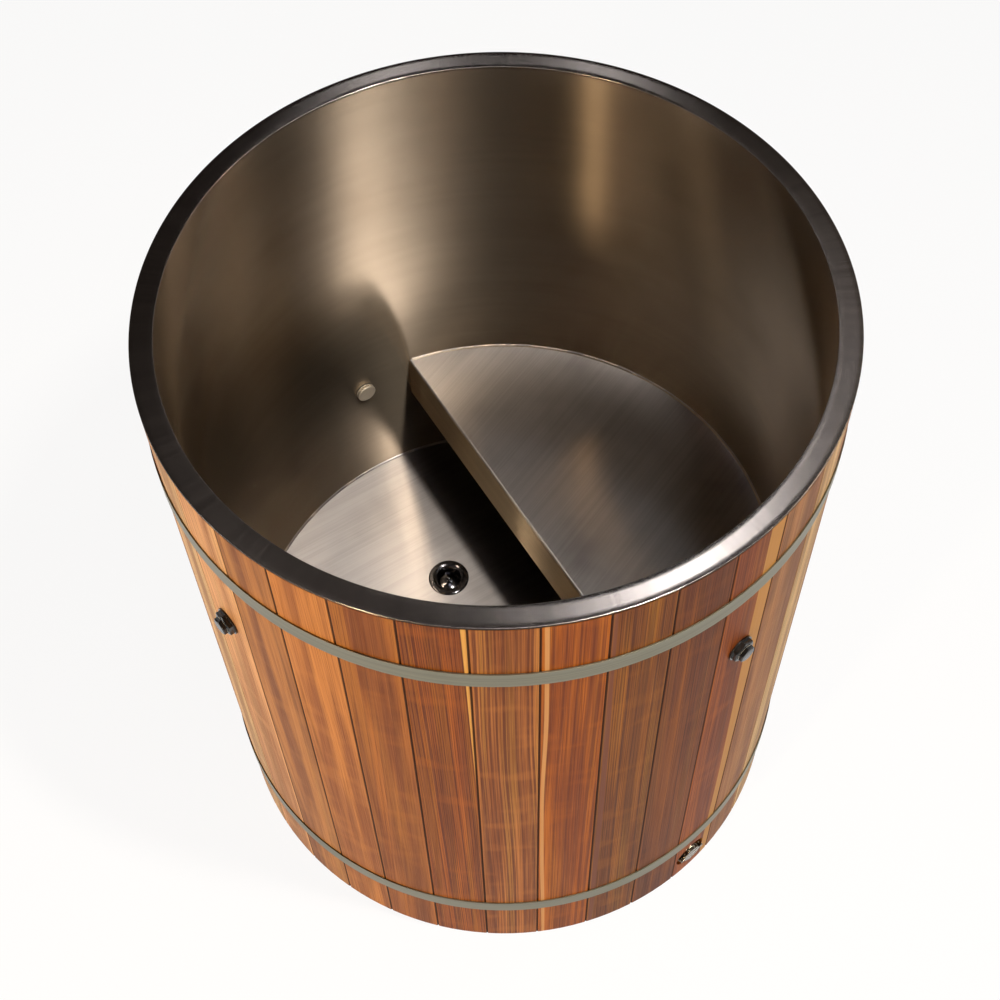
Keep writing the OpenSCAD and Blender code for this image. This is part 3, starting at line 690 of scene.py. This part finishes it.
class TUB_OT_rim(bpy.types.Operator):
    """Make the rim ring with softened edges"""

    bl_idname = "tub.rim"
    bl_label = "Rim"

    def execute(self, context):
        sizes = context.scene.tub_steel
        inner = LINER_OUT - sizes.sheet
        soft = sizes.soft_edge
        flat = np.linspace(BARREL_R - soft, inner + soft, 5)[1:-1]
        profile = np.concatenate([
            [(inner, RIM_BASE), (BARREL_R, RIM_BASE)],
            corner((BARREL_R - soft, RIM_TOP - soft), soft, 0, 90),
            np.stack([flat, np.full(len(flat), RIM_TOP)], axis=1),
            corner((inner + soft, RIM_TOP - soft), soft, 90, 180),
        ])
        ring = brushed_steel("ring_brushed_stainless", sizes.rim_tone, 0.2, 0.6, "radial",
                             contrast=0.14, stain=0.0)
        piece = new_piece("rim_ring", *turned(profile, sizes.steps), ring)
        # The outer edge is painted dark and dull: painted shade along the rim's lower edge
        piece.data.materials.append(plain_metal("painted_shade_edge", "#3A322C", 0.6))
        mark_upright(piece.data, beyond=BARREL_R - soft)
        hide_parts("rim_flange")
        return {"FINISHED"}


class TUB_OT_hoops(bpy.types.Operator):
    """Dress the hoops and their draw bolts"""

    bl_idname = "tub.hoops"
    bl_label = "Hoops"

    def execute(self, context):
        # Satin band with a grey-green tarnish, and bolts whose zinc is brighter
        band = brushed_steel("hoop_stainless", context.scene.tub_steel.hoop_tone, 0.42, 0.4,
                             contrast=0.14, stain=0.3, tarnish="#A8B79A")
        dress(refined("upper_hoop", 0.4 * MM), band)
        dress(refined("lower_hoop", 0.4 * MM), band)
        dress(refined("hoop_bolts", 0.4 * MM), plain_metal("zinc_bolt", "#B4B6B4", 0.3))
        return {"FINISHED"}


class TUB_OT_drain(bpy.types.Operator):
    """Dress the drain, its stopper and the pipe below"""

    bl_idname = "tub.drain"
    bl_label = "Drain"

    def execute(self, context):
        # Smoked chrome is a dark mirror, moulded nylon and pipe are satin, rubber is dull
        chrome = plain_metal("smoked_chrome", "#606064", 0.15, 0.2)
        rubber = moulded_plastic("nitrile_rubber", "#151515", 0.7)
        nylon = moulded_plastic("black_nylon", "#1A1A1A", 0.45)
        pipe = moulded_plastic("white_pvc", "#DFE0DA", 0.32)
        dress(refined("drain_body", 0.25 * MM), chrome)
        dress(refined("drain_stopper", 0.25 * MM), chrome)
        dress(frame["nodes"]["stopper_seal"], rubber)
        dress(frame["nodes"]["sealing_washers"], rubber)
        dress(refined("drain_nut", 0.6 * MM), nylon)
        dress(refined("drain_elbow", 0.6 * MM), pipe)
        dress(refined("drain_pipe", 0.4 * MM), pipe)
        return {"FINISHED"}


class TUB_OT_outlet(bpy.types.Operator):
    """Dress the outlet and its cap"""

    bl_idname = "tub.outlet"
    bl_label = "Outlet"

    def execute(self, context):
        # A polished casting, whose uneven face breaks reflections into glints
        bright = plain_metal("cast_stainless", "#857A68", 0.12, dents=8 * MM)
        dress(refined("outlet_body", 0.3 * MM), bright)
        dress(refined("outlet_cap", 0.5 * MM), bright)
        return {"FINISHED"}


class TUB_OT_ports(bpy.types.Operator):
    """Dress the ports, their nuts and plugs"""

    bl_idname = "tub.ports"
    bl_label = "Ports"

    def execute(self, context):
        # Glass-filled nylon moulds to a glossy black, and bead-blasted nickel is pale and dull
        black = moulded_plastic("black_glass_filled_nylon", "#121212", 0.22)
        for name in ("port_nuts", "left_plug", "right_plug"):
            dress(refined(name, 0.8 * MM), black)
        nickel = plain_metal("blasted_nickel", "#F0E8DA", 0.7, 0.1)
        dress(refined("port_bodies", 0.3 * MM), nickel)
        return {"FINISHED"}


class TUB_OT_base(bpy.types.Operator):
    """Dress joists, base boards and foam"""

    bl_idname = "tub.base"
    bl_label = "Base"

    def execute(self, context):
        # Sawn fir, pale with wide rings, and dull pale foam
        softwood = cedar("joist_fir", 40, 77, "#C39A6B", 0.5, 4 * MM, (0.1, 0.6), 0.02, None, 0,
                         0.8 * MM)
        dress(frame["nodes"]["joists"], softwood)
        dress(frame["nodes"]["base_boards"], softwood)
        foam = moulded_plastic("polyurethane_foam", "#DCCB98", 0.9, grain=1.5 * MM)
        dress(frame["nodes"]["wall_foam"], foam)
        dress(frame["nodes"]["floor_foam"], foam)
        return {"FINISHED"}


# Each softbox: name, turn from +X and height angle in degrees, distance, width and length, power in
# watts and tone. All face a point on the axis at this height
LAMPS = [
    ("key", -37, 67, 3.3, (0.17, 0.4), 95, "#FFF6EA"),
    ("warm_band", -124, 22, 3.3, (0.24, 0.4), 48, "#FFDDB2"),
    ("seat_glow", -74, 38, 3.3, (0.7, 0.3), 5, "#FFEBD2"),
    ("back_right", 15, 50, 3.3, (0.4, 0.6), 12, "#FFE2C0"),
    ("top", 0, 88, 3.3, (0.6, 0.6), 3.5, "#F4F2FF"),
    ("rim_glint", 63.5, 66.6, 3.06, (0.22, 0.22), 2.1, "#FFFFFF"),
    ("rim_side", 57, 55.8, 3.39, (0.5, 0.5), 0.2, "#FFFFFF"),
    ("rim_back_right", 82, 41, 3.3, (0.12, 0.12), 0.22, "#FFFFFF"),
    ("rim_back_left", 97, 41, 3.3, (0.16, 0.12), 0.3, "#FFFFFF"),
    ("side_left", -160, 0, 3.6, (1.6, 0.8), 27, "#FFFAF2"),
    ("front_left", -115, 0, 3.6, (1.6, 0.8), 20, "#FFFAF2"),
    ("front_right", -62, 0, 3.6, (1.6, 0.8), 8, "#FFFAF2"),
    ("side_right", -20, 0, 3.6, (1.6, 0.8), 16, "#FFFAF2"),
]
LAMP_AIM = 0.8

# The world's light on the tub near the horizon, and its dim ceiling
HORIZON = (0.14, 0.14, 0.14, 1)
CEILING = (0.02, 0.017, 0.015, 1)


class TUB_OT_stage(bpy.types.Operator):
    """Set the floor, the studio light and the camera"""

    bl_idname = "tub.stage"
    bl_label = "Stage"

    def execute(self, context):
        stage = context.scene.tub_stage
        self.make_floor(stage)
        self.make_world(context.scene, stage)
        self.make_lamps()
        self.make_camera(context.scene, stage)
        context.scene.view_settings.view_transform = "Standard"
        return {"FINISHED"}

    def make_floor(self, stage):
        """A wide floor, white to the camera and in reflections, with the tub's own shadow."""
        half = 6.0
        corners = np.array([(-half, -half, 0), (half, -half, 0), (half, half, 0), (-half, half, 0)])
        mesh = bpy.data.meshes.new("studio_floor")
        mesh.from_pydata(corners, [], [(0, 1, 2, 3)])
        floor = bpy.data.objects.new("studio_floor", mesh)
        bpy.context.scene.collection.objects.link(floor)
        white = srgb(stage.backdrop)
        material, tree, shader = new_material("studio_paper", {"Base Color": white, "Roughness": 0.9,
                                                               "IOR": 1.45})
        path = add_node(tree, "LightPath")
        seen = path["Is Camera Ray"]
        for ray in ("Is Glossy Ray", "Is Transmission Ray"):
            seen = add_node(tree, "Math", (seen, path[ray]), operation="MAXIMUM")[0]
        share = add_node(tree, "Math", (seen, 0.9), operation="MULTIPLY")[0]
        glow = add_node(tree, "Emission", {"Color": white, "Strength": 1.0})[0]
        mixed = add_node(tree, "MixShader", (share, shader.outputs[0], glow))[0]
        tree.links.new(mixed, tree.nodes["Material Output"].inputs[0])
        mesh.materials.append(material)

    def make_world(self, scene, stage):
        """White to the camera; in reflections white near the horizon and a dim ceiling above."""
        world = bpy.data.worlds.new("studio")
        world.use_nodes = True
        tree = world.node_tree
        white = srgb(stage.backdrop)
        way = add_node(tree, "TexCoord")["Generated"]
        up = add_node(tree, "SeparateXYZ", (way,))[2]
        high = add_node(tree, "MapRange", (up, 0.06, 0.22), **SOFT)[0]
        path = add_node(tree, "LightPath")
        mirrored = add_node(tree, "Math", (path["Is Glossy Ray"], path["Is Transmission Ray"]),
                            operation="MAXIMUM")[0]
        tone = add_node(tree, "Mix", {0: mirrored, MIX_A: HORIZON, MIX_B: white}, **COLOURS)[MIX_OUT]
        for share, laid in ((high, CEILING), (path["Is Camera Ray"], white)):
            tone = add_node(tree, "Mix", {0: share, MIX_A: tone, MIX_B: laid}, **COLOURS)[MIX_OUT]
        tree.links.new(tone, tree.nodes["Background"].inputs["Color"])
        scene.world = world

    def make_lamps(self):
        """Softboxes round the tub, which all face its axis."""
        aim = Vector((0, 0, LAMP_AIM))
        for name, turn, rise, away, (width, length), power, tone in LAMPS:
            turn, rise = math.radians(turn), math.radians(rise)
            level = math.cos(rise)
            way = Vector((math.cos(turn) * level, math.sin(turn) * level, math.sin(rise)))
            lamp = bpy.data.lights.new(name, "AREA")
            lamp.shape = "RECTANGLE"
            lamp.size, lamp.size_y = width, length
            lamp.energy = power
            lamp.color = srgb(tone)[:3]
            holder = bpy.data.objects.new(name, lamp)
            bpy.context.scene.collection.objects.link(holder)
            holder.location = aim + away * way
            holder.rotation_euler = (-way).to_track_quat("-Z", "Y").to_euler()

    def make_camera(self, scene, stage):
        """Looks along +Y, pitched down, then rolled about its own view."""
        camera = bpy.data.cameras.new("photo_camera")
        camera.sensor_fit = "HORIZONTAL"
        camera.sensor_width = 36
        camera.lens = stage.lens
        camera.clip_end = 60
        cp, sp = math.cos(stage.pitch), math.sin(stage.pitch)
        cy, sy = math.cos(stage.yaw), math.sin(stage.yaw)
        cr, sr = math.cos(stage.roll), math.sin(stage.roll)
        ahead = Vector((sy * cp, cy * cp, -sp))
        right = Vector((cy, -sy, 0))
        above = right.cross(ahead)
        across = cr * right + sr * above
        upward = -sr * right + cr * above
        holder = bpy.data.objects.new("photo_camera", camera)
        scene.collection.objects.link(holder)
        turn = Matrix((across, upward, -ahead)).transposed()
        holder.matrix_world = Matrix.Translation(stage.place) @ turn.to_4x4()
        scene.camera = holder


OPERATORS = (TUB_OT_staves, TUB_OT_liner, TUB_OT_welds, TUB_OT_rim, TUB_OT_hoops, TUB_OT_drain,
             TUB_OT_outlet, TUB_OT_ports, TUB_OT_base, TUB_OT_stage)


class TUB_PT_panel(bpy.types.Panel):
    """Lists the tub's pieces and the stage"""

    bl_idname = "TUB_PT_panel"
    bl_label = "Barrel tub"
    bl_space_type = "VIEW_3D"
    bl_region_type = "UI"
    bl_category = "Tub"

    def draw(self, context):
        for operator in OPERATORS:
            self.layout.operator(operator.bl_idname)


CLASSES = (TubSteel, TubCedar, TubStage) + OPERATORS + (TUB_PT_panel,)


def register():
    for cls in CLASSES:
        bpy.utils.register_class(cls)
    bpy.types.Scene.tub_steel = PointerProperty(type=TubSteel)
    bpy.types.Scene.tub_cedar = PointerProperty(type=TubCedar)
    bpy.types.Scene.tub_stage = PointerProperty(type=TubStage)


def unregister():
    del bpy.types.Scene.tub_stage
    del bpy.types.Scene.tub_cedar
    del bpy.types.Scene.tub_steel
    for cls in reversed(CLASSES):
        bpy.utils.unregister_class(cls)


def main():
    """Registers the add-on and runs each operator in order."""
    register()
    bpy.ops.tub.staves()
    bpy.ops.tub.liner()
    bpy.ops.tub.welds()
    bpy.ops.tub.rim()
    bpy.ops.tub.hoops()
    bpy.ops.tub.drain()
    bpy.ops.tub.outlet()
    bpy.ops.tub.ports()
    bpy.ops.tub.base()
    bpy.ops.tub.stage()


if __name__ == "__main__":
    main()
